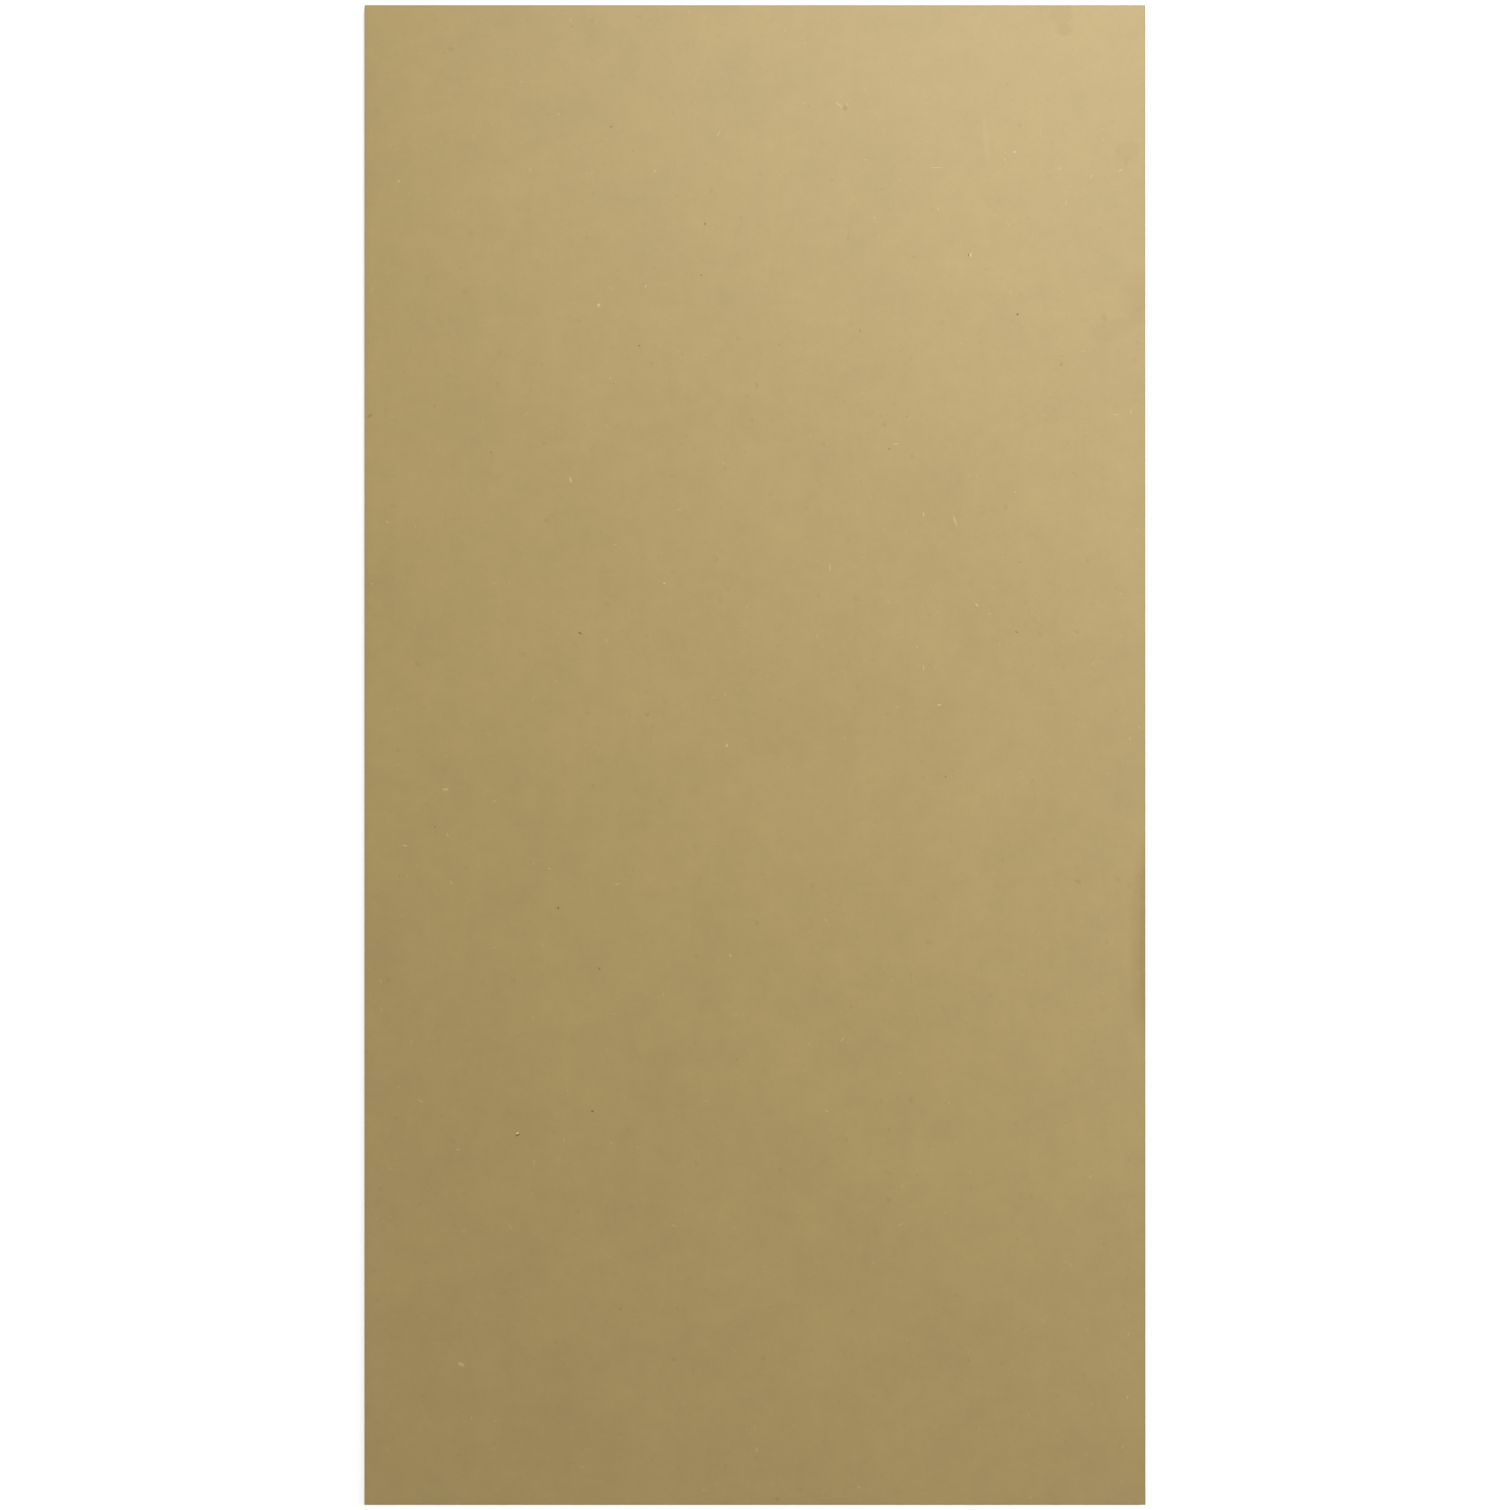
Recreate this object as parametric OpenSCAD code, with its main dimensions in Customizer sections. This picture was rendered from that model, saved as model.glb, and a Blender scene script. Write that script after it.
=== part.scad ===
// MDF board: one full sheet of medium density fibreboard, lying flat on its underside.
// The sheet is one pressed piece: the press sets its thickness, the sander finishes both
// faces, and four saw cuts trim it square. Nothing is glued, banded or machined on it.
//
// Frame, in millimetres: the origin is the middle of the underside, +Z is up through the
// thickness, +Y runs along the length and +X across the width.

/* [Board] */
// Width of the trimmed sheet, along X
board_width = 1250; // [600:1:1300]
// Length of the trimmed sheet, along Y
board_length = 2400; // [1200:1:3100]
// Thickness between the two sanded faces, along Z
board_thickness = 18; // [6:0.5:30]

/* [Edges] */
// Width of the eased arris where a face meets a sawn edge
face_arris = 0.4; // [0.1:0.1:1.5]
// Width of the blunted arris on the four upright corners, where two sawn edges meet
corner_arris = 0.8; // [0.1:0.1:1.5]

/* [Hidden] */
// Sanded face of raw medium density fibreboard
raw_fibre = [0.69, 0.61, 0.42];

// A span by rise rectangle about the origin, with its four corners cut off at 45 degrees.
// cut is the leg that each corner loses along either side.
module eased_rectangle(span, rise, cut) {
    x = span / 2;
    y = rise / 2;
    polygon([
        [x, y - cut], [x - cut, y],
        [cut - x, y], [-x, y - cut],
        [-x, cut - y], [cut - x, -y],
        [x - cut, -y], [x, cut - y]
    ]);
}

// The outline that the trim saws leave, seen from above, with its blunted corners.
module sawn_outline() {
    linear_extrude(height = board_thickness, center = true)
        eased_rectangle(board_width, board_length, corner_arris);
}

// The section across the width, carried along the length. It eases the two long edges.
module long_edge_section() {
    rotate([90, 0, 0])
        linear_extrude(height = board_length, center = true)
            eased_rectangle(board_width, board_thickness, face_arris);
}

// The section along the length, carried across the width. It eases the two ends.
module end_section() {
    rotate([90, 0, 90])
        linear_extrude(height = board_width, center = true)
            eased_rectangle(board_length, board_thickness, face_arris);
}

// The sheet is what the sawn outline and both eased sections have in common.
module mdf_board() {
    color(raw_fibre)
        translate([0, 0, board_thickness / 2])
            intersection() {
                sawn_outline();
                long_edge_section();
                end_section();
            }
}

mdf_board();
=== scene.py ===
import math

import bmesh
import bpy
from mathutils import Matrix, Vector


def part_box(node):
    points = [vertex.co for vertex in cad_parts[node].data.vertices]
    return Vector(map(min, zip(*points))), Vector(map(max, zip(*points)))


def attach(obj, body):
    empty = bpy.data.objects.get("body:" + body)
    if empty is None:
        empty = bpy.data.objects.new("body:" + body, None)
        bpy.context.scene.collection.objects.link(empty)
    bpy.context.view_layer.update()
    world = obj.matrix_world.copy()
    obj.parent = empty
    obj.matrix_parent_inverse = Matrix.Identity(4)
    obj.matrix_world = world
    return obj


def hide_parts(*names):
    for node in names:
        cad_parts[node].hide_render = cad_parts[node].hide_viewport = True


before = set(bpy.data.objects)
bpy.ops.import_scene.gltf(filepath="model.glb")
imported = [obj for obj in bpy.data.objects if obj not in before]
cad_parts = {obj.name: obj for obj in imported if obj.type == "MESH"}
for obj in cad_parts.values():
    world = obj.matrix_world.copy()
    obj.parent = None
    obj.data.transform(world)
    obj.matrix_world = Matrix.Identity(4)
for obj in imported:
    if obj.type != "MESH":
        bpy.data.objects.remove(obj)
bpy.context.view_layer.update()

# ---- The sheet ----------------------------------------------------------------------------
# One full sheet of medium density fibreboard: wood fibre and resin laid as a mat, pressed hot
# and sanded on both faces. Four saw cuts trim it square, and every arris is eased by hand so
# that it doesn't cut or chip.
low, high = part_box("mdf_board")
centre = (low + high) / 2
size = high - low
FACE_ARRIS = 0.0004
CORNER_ARRIS = 0.0008
ROUNDING_STEPS = 4
TOUCHING = FACE_ARRIS / 10

outline = bmesh.new()
bmesh.ops.create_cube(outline, size=1.0)
bmesh.ops.scale(outline, vec=size, verts=outline.verts)
bmesh.ops.translate(outline, vec=centre, verts=outline.verts)


def is_upright(edge):
    """True for one of the four corner edges, which stand through the thickness."""
    first, second = edge.verts
    return abs(first.co.z - second.co.z) > size.z / 2


def is_rim(edge):
    """True for an edge that runs round one of the two sanded faces."""
    first, second = edge.verts
    is_level = abs(first.co.z - second.co.z) < TOUCHING
    return is_level and abs(first.co.z - centre.z) > size.z / 2 - TOUCHING


def ease(edges, radius):
    """Rounds these edges of the sheet."""
    bmesh.ops.bevel(
        outline,
        geom=edges,
        offset=radius,
        segments=ROUNDING_STEPS,
        profile=0.5,
        affect="EDGES",
        material=-1,
    )


ease([edge for edge in outline.edges if is_upright(edge)], CORNER_ARRIS)
ease([edge for edge in outline.edges if is_rim(edge)], FACE_ARRIS)
bmesh.ops.recalc_face_normals(outline, faces=outline.faces)

# Rounding can leave the faces in another order each time, so they are put in one order.
outline.verts.index_update()


def points_of(side):
    """The numbers of a face's points, which tell it from every other face."""
    return sorted(point.index for point in side.verts)


in_order = sorted(points_of(side) for side in outline.faces)
outline.faces.sort(key=lambda side: in_order.index(points_of(side)))

# The sanded faces are flat. The arrises are small, so only they are shaded smooth.
SANDED, SAWN = 0, 1
STRAIGHT = 0.99
for side in outline.faces:
    side.material_index = SANDED if abs(side.normal.z) > STRAIGHT else SAWN
    side.smooth = max(abs(part) for part in side.normal) < STRAIGHT

# The sheet is laid out flat on its own map: the two faces side by side, and above them three
# rows of edge strips, drawn thicker than they are so that their layers show.
FACES_SHARE = 0.90
ROW = (1 - FACES_SHARE) / 3
MARGIN = 0.004


def laid_out(side, place):
    """Where a point of the sheet lies on the map, by which way its side of the sheet faces."""
    across, along, through = (
        (place[axis] - low[axis]) / size[axis] for axis in range(3)
    )
    out = side.normal
    if abs(out.z) >= max(abs(out.x), abs(out.y)):
        left, bottom, width, height = (0 if out.z > 0 else 0.5), 0, 0.5, FACES_SHARE
        run, rise = (across if out.z > 0 else 1 - across), along
    elif abs(out.x) >= abs(out.y):
        left, bottom, width, height = 0, FACES_SHARE + (ROW if out.x > 0 else 0), 1, ROW
        run, rise = along, through
    else:
        left, bottom, width, height = (0 if out.y > 0 else 0.5), FACES_SHARE + 2 * ROW, 0.5, ROW
        run, rise = across, through
    return (
        left + MARGIN + run * (width - 2 * MARGIN),
        bottom + MARGIN + rise * (height - 2 * MARGIN),
    )


layout = outline.loops.layers.uv.new("OFBake")
for side in outline.faces:
    for corner in side.loops:
        corner[layout].uv = laid_out(side, corner.vert.co)

sheet_mesh = bpy.data.meshes.new("mdf_sheet")
outline.to_mesh(sheet_mesh)
outline.free()
sheet = bpy.data.objects.new("mdf_sheet", sheet_mesh)
bpy.context.scene.collection.objects.link(sheet)
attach(sheet, "root")
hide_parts("mdf_board")


# ---- The sanded faces ---------------------------------------------------------------------
# Raw fibreboard has no finish of its own. What shows is the fibre: a tan felt, clouded by how
# the mat fell, with paler bundles that the refiner left whole and dark flecks of bark.
FIBRE_TAN = (0.336, 0.241, 0.084)
PALE_FIBRE = (0.75, 0.585, 0.265, 1)
BARK_AND_SHADOW_BROWN = (0.085, 0.045, 0.002, 1)
HAND_GRIME = (0.200, 0.120, 0.015, 1)


def add(tree, kind, settings=None, **inputs):
    """Adds a shader node. Inputs go by name, or by number as i0, i1 and so on."""
    made = tree.nodes.new("ShaderNode" + kind)
    for name, value in (settings or {}).items():
        setattr(made, name, value)
    for name, value in inputs.items():
        number = name[1:]
        socket = made.inputs[int(number) if number.isdigit() else name.replace("_", " ")]
        if isinstance(value, bpy.types.NodeSocket):
            tree.links.new(value, socket)
        else:
            socket.default_value = value
    return made


def reckon(tree, operation, first, second=0.0, third=0.0):
    """One step of arithmetic on numbers or sockets."""
    step = add(tree, "Math", {"operation": operation}, i0=first, i1=second, i2=third)
    return step.outputs[0]


def fade(tree, value, start, end):
    """A smooth step from 0 at start to 1 at end."""
    smooth = {"interpolation_type": "SMOOTHSTEP"}
    return add(tree, "MapRange", smooth, Value=value, From_Min=start, From_Max=end).outputs[0]


def total(tree, parts, start=0.0):
    """start plus each value times its weight."""
    for value, weight in parts:
        start = reckon(tree, "MULTIPLY_ADD", value, weight, start)
    return start


def blend(tree, share, under, over):
    """One colour laid over another. Under and over are colours or sockets."""
    colours = {"data_type": "RGBA"}
    return add(tree, "Mix", colours, i0=share, i6=under, i7=over).outputs[2]


def shade(tree, colour, level):
    """A colour made lighter or darker: level times what it was."""
    grey = add(tree, "CombineXYZ", X=level, Y=level, Z=level).outputs[0]
    return add(tree, "VectorMath", {"operation": "MULTIPLY"}, i0=grey, i1=colour).outputs[0]


def clouds(tree, place, per_metre, octaves, roughness=0.5, stretch=(1, 1, 1), shift=(0, 0, 0)):
    """Cloudy noise about zero. It is finer along an axis where stretch is more than 1."""
    put = add(tree, "Mapping", Vector=place, Location=shift, Scale=stretch).outputs[0]
    made = add(
        tree, "TexNoise", Vector=put, Scale=per_metre, Detail=octaves, Roughness=roughness
    )
    return reckon(tree, "SUBTRACT", made.outputs["Fac"], 0.5)


def bundle(tree, run, rise):
    """The mask of one fibre bundle lying flat: a short streak that is widest in the middle.

    Run is measured along it in lengths, and rise across it in widths, both from its middle.
    Reach is the square of how far out a spot lies.
    """
    RIM, CORE = 0.25, 0.06
    reach = reckon(tree, "MULTIPLY_ADD", rise, rise, reckon(tree, "MULTIPLY", run, run))
    return fade(tree, reach, RIM, CORE)


def strewn(tree, plane, spacing, length, width, bend=0.0, shift=(0, 0, 0), turned=math.pi):
    """Bundles strewn at random, one to a cell: most are faint and a few stand out.

    Spacing is about how far apart they lie. Lengths and widths lie between the two values
    given. Bend is the most that one curves, and turned is the range of the angles that they lie
    at, about level.
    """
    put = add(tree, "Mapping", Vector=plane, Location=shift).outputs[0]
    flat = {"voronoi_dimensions": "2D"}
    cell = add(tree, "TexVoronoi", flat, Vector=put, Scale=1 / spacing).outputs
    offset = add(tree, "VectorMath", {"operation": "SUBTRACT"}, i0=put, i1=cell["Position"])
    draw = add(tree, "SeparateColor", Color=cell["Color"]).outputs
    luck = add(tree, "TexWhiteNoise", {"noise_dimensions": "2D"}, Vector=cell["Position"])
    turn = reckon(tree, "MULTIPLY_ADD", draw["Red"], turned, -turned / 2)
    long = reckon(tree, "MULTIPLY_ADD", draw["Green"], length[1] - length[0], length[0])
    wide = reckon(tree, "MULTIPLY_ADD", draw["Blue"], width[1] - width[0], width[0])
    curve = reckon(tree, "MULTIPLY_ADD", draw["Green"], 2 * bend, -bend)
    about = {"rotation_type": "Z_AXIS", "invert": True}
    turned_back = add(tree, "VectorRotate", about, Vector=offset.outputs[0], Angle=turn).outputs[0]
    part = add(tree, "SeparateXYZ", Vector=turned_back).outputs
    bow = reckon(tree, "MULTIPLY", reckon(tree, "MULTIPLY", part["X"], part["X"]), curve)
    run = reckon(tree, "DIVIDE", part["X"], long)
    rise = reckon(tree, "DIVIDE", reckon(tree, "SUBTRACT", part["Y"], bow), wide)
    mask = bundle(tree, run, rise)
    strength = reckon(tree, "LOGARITHM", luck.outputs["Value"], 1 / math.e)
    return reckon(tree, "MULTIPLY", mask, strength)


# The few marks that stand out on the upper face. Each row gives a mark's place in metres, its
# turn in degrees, its length and width in millimetres, and how far it hides the tan. All the
# other bundles and flecks are strewn. The dark rows also hold two painted shadows, each cast
# beside a raised pale bundle.
PALE_BUNDLES = [
    (0.355, 0.240, 130, 9, 2.0, 0.45),
    (-0.145, 0.275, 0, 5, 2.5, 0.45),
    (-0.045, 0.015, 75, 8, 3.0, 0.45),
    (0.270, 0.385, 85, 10, 2.0, 0.45),
    (0.120, 0.300, 95, 14, 2.0, 0.45),
    (0.270, 0.140, 90, 11, 1.5, 0.40),
    (0.135, 1.040, 140, 18, 2.0, 0.25),
    (-0.295, 0.440, 100, 11, 2.5, 0.50),
    (-0.560, -0.145, 175, 10, 2.0, 0.40),
    (0.290, 0.940, 0, 26, 2.0, 0.20),
    (0.370, 0.985, 95, 90, 12.0, 0.035),
    (-0.470, -0.975, 155, 14, 7.0, 0.30),
    (-0.250, 0.720, 0, 6, 6.0, 0.40),
    (0.345, 0.800, 90, 8, 2.5, 0.60),
    (-0.380, -0.605, 30, 6, 3.5, 0.85),
    (0.415, 0.965, 90, 4, 4.0, 0.40),
    (0.295, 0.080, 0, 8, 2.0, 0.60),
    (-0.495, -0.055, 0, 12, 4.0, 0.30),
    (-0.175, 0.750, 55, 7, 2.5, 0.35),
    (0.320, 0.375, 110, 22, 5.0, 0.20),
]
BARK_FLECKS_AND_SHADOWS = [
    (0.420, 0.705, 0, 4, 4.0, 1.00),
    (-0.280, 0.195, 150, 8, 3.0, 0.80),
    (-0.315, -0.245, 80, 5, 4.5, 0.70),
    # Painted shadow below the raised pale bundle at (-0.380, -0.605).
    (-0.380, -0.608, 25, 9, 3.0, 0.95),
    (-0.260, -0.570, 0, 5, 3.5, 0.85),
    (-0.230, 1.005, 0, 6, 3.0, 0.65),
    (0.215, 0.490, 0, 5, 3.5, 0.55),
    (0.490, 0.625, 50, 8, 2.5, 0.55),
    (-0.185, 0.655, 0, 4, 4.0, 0.55),
    # Painted shadow left of the raised pale bundle at (0.345, 0.800).
    (0.342, 0.800, 90, 6, 2.5, 0.80),
    (-0.080, 0.850, 90, 6, 3.0, 0.70),
    (0.305, -0.035, 0, 4, 4.0, 0.50),
]
HANDLING_SMUDGES = [
    (0.490, 1.185, 90, 45, 45, 0.12),
    (0.495, 1.160, 0, 30, 25, 0.20),
    (0.595, 0.965, 10, 50, 40, 0.15),
    (0.610, 0.730, 90, 100, 60, 0.12),
    (0.570, 0.680, 15, 90, 40, 0.11),
    (0.625, -0.300, 90, 390, 60, 0.20),
    (0.625, -0.295, 90, 350, 25, 0.20),
    (-0.625, 0.985, 90, 350, 60, 0.05),
]
MM = 0.001


def marks(tree, spot, placed):
    """The masks of the marks in a list, each times how far it hides the tan, added up."""
    sum_so_far = 0.0
    for x, y, turn, length, width, strength in placed:
        offset = add(tree, "VectorMath", {"operation": "SUBTRACT"}, i0=spot, i1=(x, y, 0)).outputs[0]
        along = Vector((math.cos(math.radians(turn)), math.sin(math.radians(turn)), 0))
        across = Vector((-along.y, along.x, 0))
        run = add(tree, "VectorMath", {"operation": "DOT_PRODUCT"}, i0=offset, i1=along / (length * MM))
        rise = add(tree, "VectorMath", {"operation": "DOT_PRODUCT"}, i0=offset, i1=across / (width * MM))
        mask = bundle(tree, run.outputs["Value"], rise.outputs["Value"])
        sum_so_far = reckon(tree, "MULTIPLY_ADD", mask, strength, sum_so_far)
    return sum_so_far


def sanded_fibreboard():
    """The material of the two faces."""
    material = bpy.data.materials.new("sanded fibreboard")
    material.use_nodes = True
    tree = material.node_tree
    shader = tree.nodes["Principled BSDF"]
    spot = add(tree, "TexCoord").outputs["Object"]
    part = add(tree, "SeparateXYZ", Vector=spot).outputs
    # The pattern is flat. The underside reads it far to one side, so it has its own bundles.
    UNDERSIDE_SHIFT = 10.0
    underside = reckon(tree, "LESS_THAN", part["Z"], centre.z)
    sideways = reckon(tree, "MULTIPLY_ADD", underside, UNDERSIDE_SHIFT, part["X"])
    plane = add(tree, "CombineXYZ", X=sideways, Y=part["Y"]).outputs[0]

    # The sander's marks run along the sheet.
    ALONG = (1, 0.02, 1)
    mat = clouds(tree, plane, per_metre=4.0, octaves=7.0, roughness=0.9)
    lumps = clouds(tree, plane, per_metre=24.0, octaves=2.0, roughness=0.8, shift=(6, 3, 0))
    sander = clouds(tree, plane, per_metre=60.0, octaves=3.0, stretch=ALONG, shift=(3, 1, 0))
    felt = clouds(tree, plane, per_metre=900.0, octaves=3.0, roughness=0.7)
    tone = total(tree, [(mat, 0.36), (lumps, 0.09), (sander, 0.03), (felt, 0.065)], 1.0)
    ground = shade(tree, FIBRE_TAN, tone)

    # Bundles have torn outlines, so their plane is pushed about a little.
    TORN = 0.0014
    push = add(tree, "TexNoise", Vector=plane, Scale=450.0, Detail=2.0).outputs["Color"]
    push = add(tree, "VectorMath", {"operation": "SUBTRACT"}, i0=push, i1=(0.5, 0.5, 0.5)).outputs[0]
    torn = add(
        tree, "VectorMath", {"operation": "MULTIPLY_ADD"}, i0=push, i1=(TORN, TORN, 0), i2=plane
    ).outputs[0]
    hairs = strewn(
        tree, plane, spacing=0.0030, length=(0.002, 0.005), width=(0.0002, 0.0005), bend=120
    )
    bundles = strewn(
        tree, torn, spacing=0.050, length=(0.003, 0.012), width=(0.0010, 0.0024), bend=30,
        shift=(7, 2, 0),
    )
    pale = total(tree, [
        (hairs, 0.055),
        (bundles, 0.070),
        (marks(tree, torn, PALE_BUNDLES), 1.0),
    ])
    dark_hairs = strewn(
        tree, plane, spacing=0.0034, length=(0.001, 0.004), width=(0.0002, 0.0005), bend=120,
        shift=(1, 8, 0),
    )
    flecks = strewn(
        tree, torn, spacing=0.060, length=(0.002, 0.007), width=(0.0016, 0.0030), shift=(5, 4, 0)
    )
    resin = strewn(
        tree, torn, spacing=0.050, length=(0.006, 0.014), width=(0.005, 0.010), shift=(2, 6, 0)
    )
    # Dark hairs, bark flecks and resin, and the painted shadows beside two raised bundles.
    dark = total(tree, [
        (dark_hairs, 0.035),
        (flecks, 0.10),
        (resin, 0.030),
        (marks(tree, torn, BARK_FLECKS_AND_SHADOWS), 1.0),
    ])
    colour = blend(tree, pale, ground, PALE_FIBRE)
    colour = blend(tree, dark, colour, BARK_AND_SHADOW_BROWN)

    # Hands have left a few brown smudges. The face is a little darker over its last 8 mm all round,
    # and a narrow band at the very rim is painted shade of the eased arris.
    patches = clouds(tree, plane, per_metre=45.0, octaves=3.0, shift=(1, 1, 0))
    patchy = total(tree, [(patches, 1.2)], 1.0)
    smudge = reckon(tree, "MULTIPLY", marks(tree, plane, HANDLING_SMUDGES), patchy)
    colour = blend(tree, smudge, colour, HAND_GRIME)
    WIDE_RIM, ARRIS_SHADE_WIDTH = 0.008, 0.003
    from_side = reckon(tree, "SUBTRACT", size.x / 2, reckon(tree, "ABSOLUTE", part["X"]))
    from_end = reckon(tree, "SUBTRACT", size.y / 2, reckon(tree, "ABSOLUTE", part["Y"]))
    inward = reckon(tree, "MINIMUM", from_side, from_end)
    wide_rim = fade(tree, inward, WIDE_RIM, 0.0)
    # Painted shade of the eased arris, in a narrow band along the rim.
    arris_shade = fade(tree, inward, ARRIS_SHADE_WIDTH, 0.0)
    colour = shade(tree, colour, total(tree, [(wide_rim, -0.02), (arris_shade, -0.10)], 1.0))
    tree.links.new(colour, shader.inputs["Base Color"])

    ROUGHNESS, GLOSS = 0.45, 0.54
    rough = total(tree, [(mat, 0.10), (felt, 0.10)], ROUGHNESS)
    tree.links.new(rough, shader.inputs["Roughness"])
    shader.inputs["Specular IOR Level"].default_value = GLOSS
    RELIEF = 0.00004
    height = total(tree, [(felt, 1.0), (hairs, 0.3), (dark_hairs, -0.3)])
    bump = add(tree, "Bump", Height=height, Distance=RELIEF, Strength=1.0)
    tree.links.new(bump.outputs[0], shader.inputs["Normal"])
    return material


sheet_mesh.materials.append(sanded_fibreboard())


# ---- The sawn edges -----------------------------------------------------------------------
# The press packs the fibre hardest at the two faces, so a sawn edge shows smooth, darker skins
# and a paler, looser core. The saw leaves torn tufts of fibre and faint lines across it.
SAWN_TAN = (0.400, 0.260, 0.106)


def sawn_fibreboard():
    """The material of the four edges, and of the eased arrises."""
    material = bpy.data.materials.new("sawn fibreboard")
    material.use_nodes = True
    tree = material.node_tree
    shader = tree.nodes["Principled BSDF"]
    spot = add(tree, "TexCoord").outputs["Object"]
    part = add(tree, "SeparateXYZ", Vector=spot).outputs
    # From 0 in the middle of the thickness to 1 at either face.
    off_middle = reckon(tree, "ABSOLUTE", reckon(tree, "SUBTRACT", part["Z"], centre.z))
    outward = reckon(tree, "DIVIDE", off_middle, size.z / 2)
    wander = clouds(tree, spot, per_metre=30.0, octaves=2.0)
    SKIN, CORE, WANDER = 0.98, 0.62, 0.15
    core = fade(tree, reckon(tree, "MULTIPLY_ADD", wander, WANDER, outward), SKIN, CORE)
    SKIN_LOOSENESS = 0.4
    loose = reckon(tree, "MULTIPLY_ADD", core, 1 - SKIN_LOOSENESS, SKIN_LOOSENESS)

    # The fibre lies level in the sheet, so on a cut it shows as short level dashes.
    NEARLY_LEVEL = 0.5
    run = reckon(tree, "ADD", part["X"], part["Y"])
    cut = add(tree, "CombineXYZ", X=run, Y=part["Z"]).outputs[0]
    ends = strewn(
        tree, cut, spacing=0.0016, length=(0.0006, 0.0022), width=(0.00012, 0.00030),
        shift=(0, 3, 0), turned=NEARLY_LEVEL,
    )
    # Small hollows where fibre tore out. Their darker colour is painted shade in the hollows.
    shaded_pits = strewn(
        tree, cut, spacing=0.0014, length=(0.0004, 0.0016), width=(0.00012, 0.00034),
        shift=(1, 8, 0), turned=NEARLY_LEVEL,
    )
    # The layers and tufts lie level, the fuzz is a little longer than high, and the saw's lines
    # run through the thickness.
    layers = clouds(tree, spot, per_metre=90.0, octaves=5.0, roughness=0.8, stretch=(1, 1, 14))
    tufts = clouds(
        tree, spot, per_metre=300.0, octaves=3.0, stretch=(1, 1, 2.5), shift=(4, 2, 7)
    )
    fuzz = clouds(
        tree, spot, per_metre=2400.0, octaves=2.0, roughness=0.7, stretch=(0.6, 0.6, 1)
    )
    kerf = clouds(tree, spot, per_metre=650.0, octaves=2.0, stretch=(1, 1, 0.02))
    loose_layers = reckon(tree, "MULTIPLY", layers, loose)
    loose_tufts = reckon(tree, "MULTIPLY", tufts, loose)
    SKIN_LEVEL = 0.74
    level = total(tree, [
        (core, 0.22),
        (loose_layers, 0.60),
        (loose_tufts, 0.35),
        (fuzz, 0.80),
        (kerf, 0.22),
        (ends, 0.10),
        (shaded_pits, -0.09),
    ], SKIN_LEVEL)
    tree.links.new(shade(tree, SAWN_TAN, level), shader.inputs["Base Color"])
    shader.inputs["Roughness"].default_value = 0.85
    RELIEF = 0.0002
    height = total(tree, [(fuzz, 0.8), (loose_tufts, 1.2), (kerf, 1.0), (shaded_pits, -0.15)])
    bump = add(tree, "Bump", Height=height, Distance=RELIEF, Strength=1.0)
    tree.links.new(bump.outputs[0], shader.inputs["Normal"])
    return material


sheet_mesh.materials.append(sawn_fibreboard())

# ---- The floor ----------------------------------------------------------------------------
# A plain white studio floor just under the sheet. It is bright to the eye, stays white far out
# where the lamps don't reach, and keeps the sheet's shadow.
FLOOR_SIZE = 60.0
FLOOR_DROP = 0.0005
slab = bmesh.new()
bmesh.ops.create_grid(slab, x_segments=1, y_segments=1, size=FLOOR_SIZE / 2)
bmesh.ops.translate(slab, vec=(0, 0, low.z - FLOOR_DROP), verts=slab.verts)
floor_mesh = bpy.data.meshes.new("floor")
slab.to_mesh(floor_mesh)
slab.free()
floor = bpy.data.objects.new("floor", floor_mesh)
bpy.context.scene.collection.objects.link(floor)


def looked_at(tree):
    """1 for what the camera sees, straight, in a gloss or through glass, and 0 for light."""
    path = add(tree, "LightPath").outputs
    seen = reckon(tree, "MAXIMUM", path["Is Camera Ray"], path["Is Glossy Ray"])
    return reckon(tree, "MAXIMUM", seen, path["Is Transmission Ray"])


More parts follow.
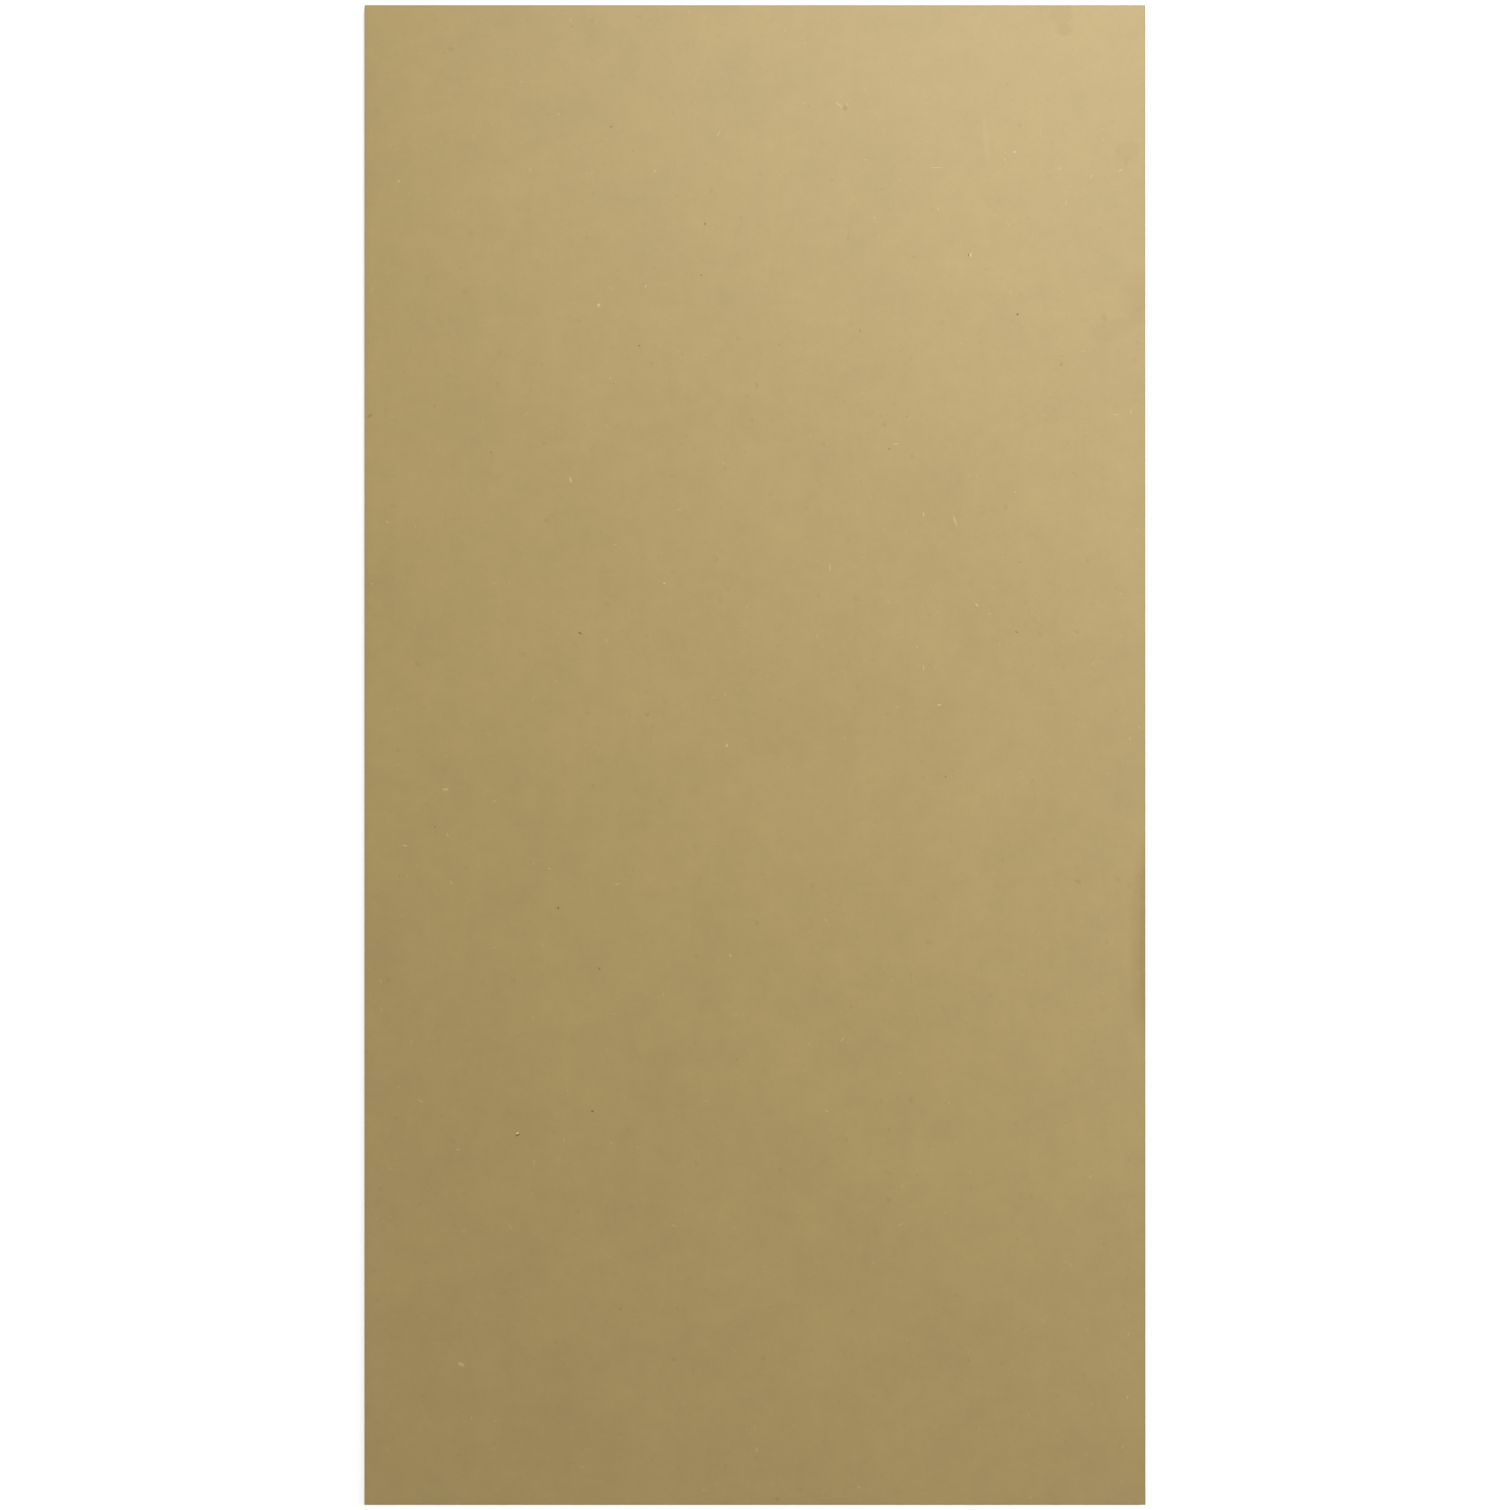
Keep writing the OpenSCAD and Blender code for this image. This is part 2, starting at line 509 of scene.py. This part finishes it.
def white_floor():
    """Matt white paint that also glows to the eye, most of all where the lamps don't reach."""
    material = bpy.data.materials.new("white floor")
    material.use_nodes = True
    tree = material.node_tree
    matt = tree.nodes["Principled BSDF"]
    matt.inputs["Base Color"].default_value = (0.8, 0.8, 0.8, 1)
    matt.inputs["Roughness"].default_value = 1.0
    matt.inputs["Specular IOR Level"].default_value = 0.0
    spot = add(tree, "TexCoord").outputs["Object"]
    away = add(tree, "VectorMath", {"operation": "LENGTH"}, i0=spot).outputs["Value"]
    GLOW_NEAR, GLOW_FAR = 0.65, 1.0
    LIT_AS_FAR_AS, UNLIT_FROM = 1.6, 9.0
    farness = fade(tree, away, LIT_AS_FAR_AS, UNLIT_FROM)
    strength = reckon(tree, "MULTIPLY_ADD", farness, GLOW_FAR - GLOW_NEAR, GLOW_NEAR)
    glow = add(tree, "Emission", Strength=strength).outputs[0]
    bright = add(tree, "AddShader", i0=matt.outputs[0], i1=glow).outputs[0]
    seen = add(tree, "MixShader", i0=looked_at(tree), i1=matt.outputs[0], i2=bright).outputs[0]
    tree.links.new(seen, tree.nodes["Material Output"].inputs["Surface"])
    return material


floor_mesh.materials.append(white_floor())

# ---- Light --------------------------------------------------------------------------------
# One softbox stands beyond the far right corner and another, higher, off the right side, so the
# tan falls off gently towards the near left corner. A low panel far out that way lights the near
# and left edges, and a pale room fills in.
ROOM_LIGHT = 0.19
studio = bpy.data.worlds.new("studio")
bpy.context.scene.world = studio
studio.use_nodes = True
tree = studio.node_tree
room = tree.nodes["Background"]
room.inputs["Color"].default_value = (1, 1, 1, 1)
room.inputs["Strength"].default_value = ROOM_LIGHT
backdrop = add(tree, "Background", Color=(1, 1, 1, 1), Strength=1.0).outputs[0]
seen = add(tree, "MixShader", i0=looked_at(tree), i1=room.outputs[0], i2=backdrop).outputs[0]
tree.links.new(seen, tree.nodes["World Output"].inputs["Surface"])


def softbox(name, place, width, radiance):
    """A square softbox at place, turned to the middle of the sheet."""
    lamp = bpy.data.lights.new(name, "AREA")
    lamp.shape = "SQUARE"
    lamp.size = width
    lamp.energy = radiance * math.pi * width * width
    stand = bpy.data.objects.new(name, lamp)
    stand.location = place
    stand.rotation_euler = (-Vector(place)).to_track_quat("-Z", "Y").to_euler()
    stand.visible_camera = False
    bpy.context.scene.collection.objects.link(stand)


softbox("key softbox", (0.65, 2.00, 2.60), width=2.2, radiance=4.8)
softbox("side softbox", (3.15, 0.15, 4.35), width=1.5, radiance=20.5)
softbox("low panel", (-5.0, -7.0, 1.6), width=3.0, radiance=7.5)

# ---- Camera -------------------------------------------------------------------------------
# It hangs over the middle of the sheet and looks straight down, with the length upright and a
# narrow margin left at either end.
LENS = 100.0
SENSOR = 36.0
END_MARGIN = 0.008
view = bpy.data.cameras.new("overhead")
view.lens = LENS
view.sensor_width = SENSOR
view.clip_end = 200.0
camera = bpy.data.objects.new("overhead", view)
view_height = size.y + 2 * END_MARGIN
camera.location = (centre.x, centre.y, high.z + view_height * LENS / SENSOR)
bpy.context.scene.collection.objects.link(camera)
bpy.context.scene.camera = camera
bpy.context.scene.view_settings.view_transform = "Standard"
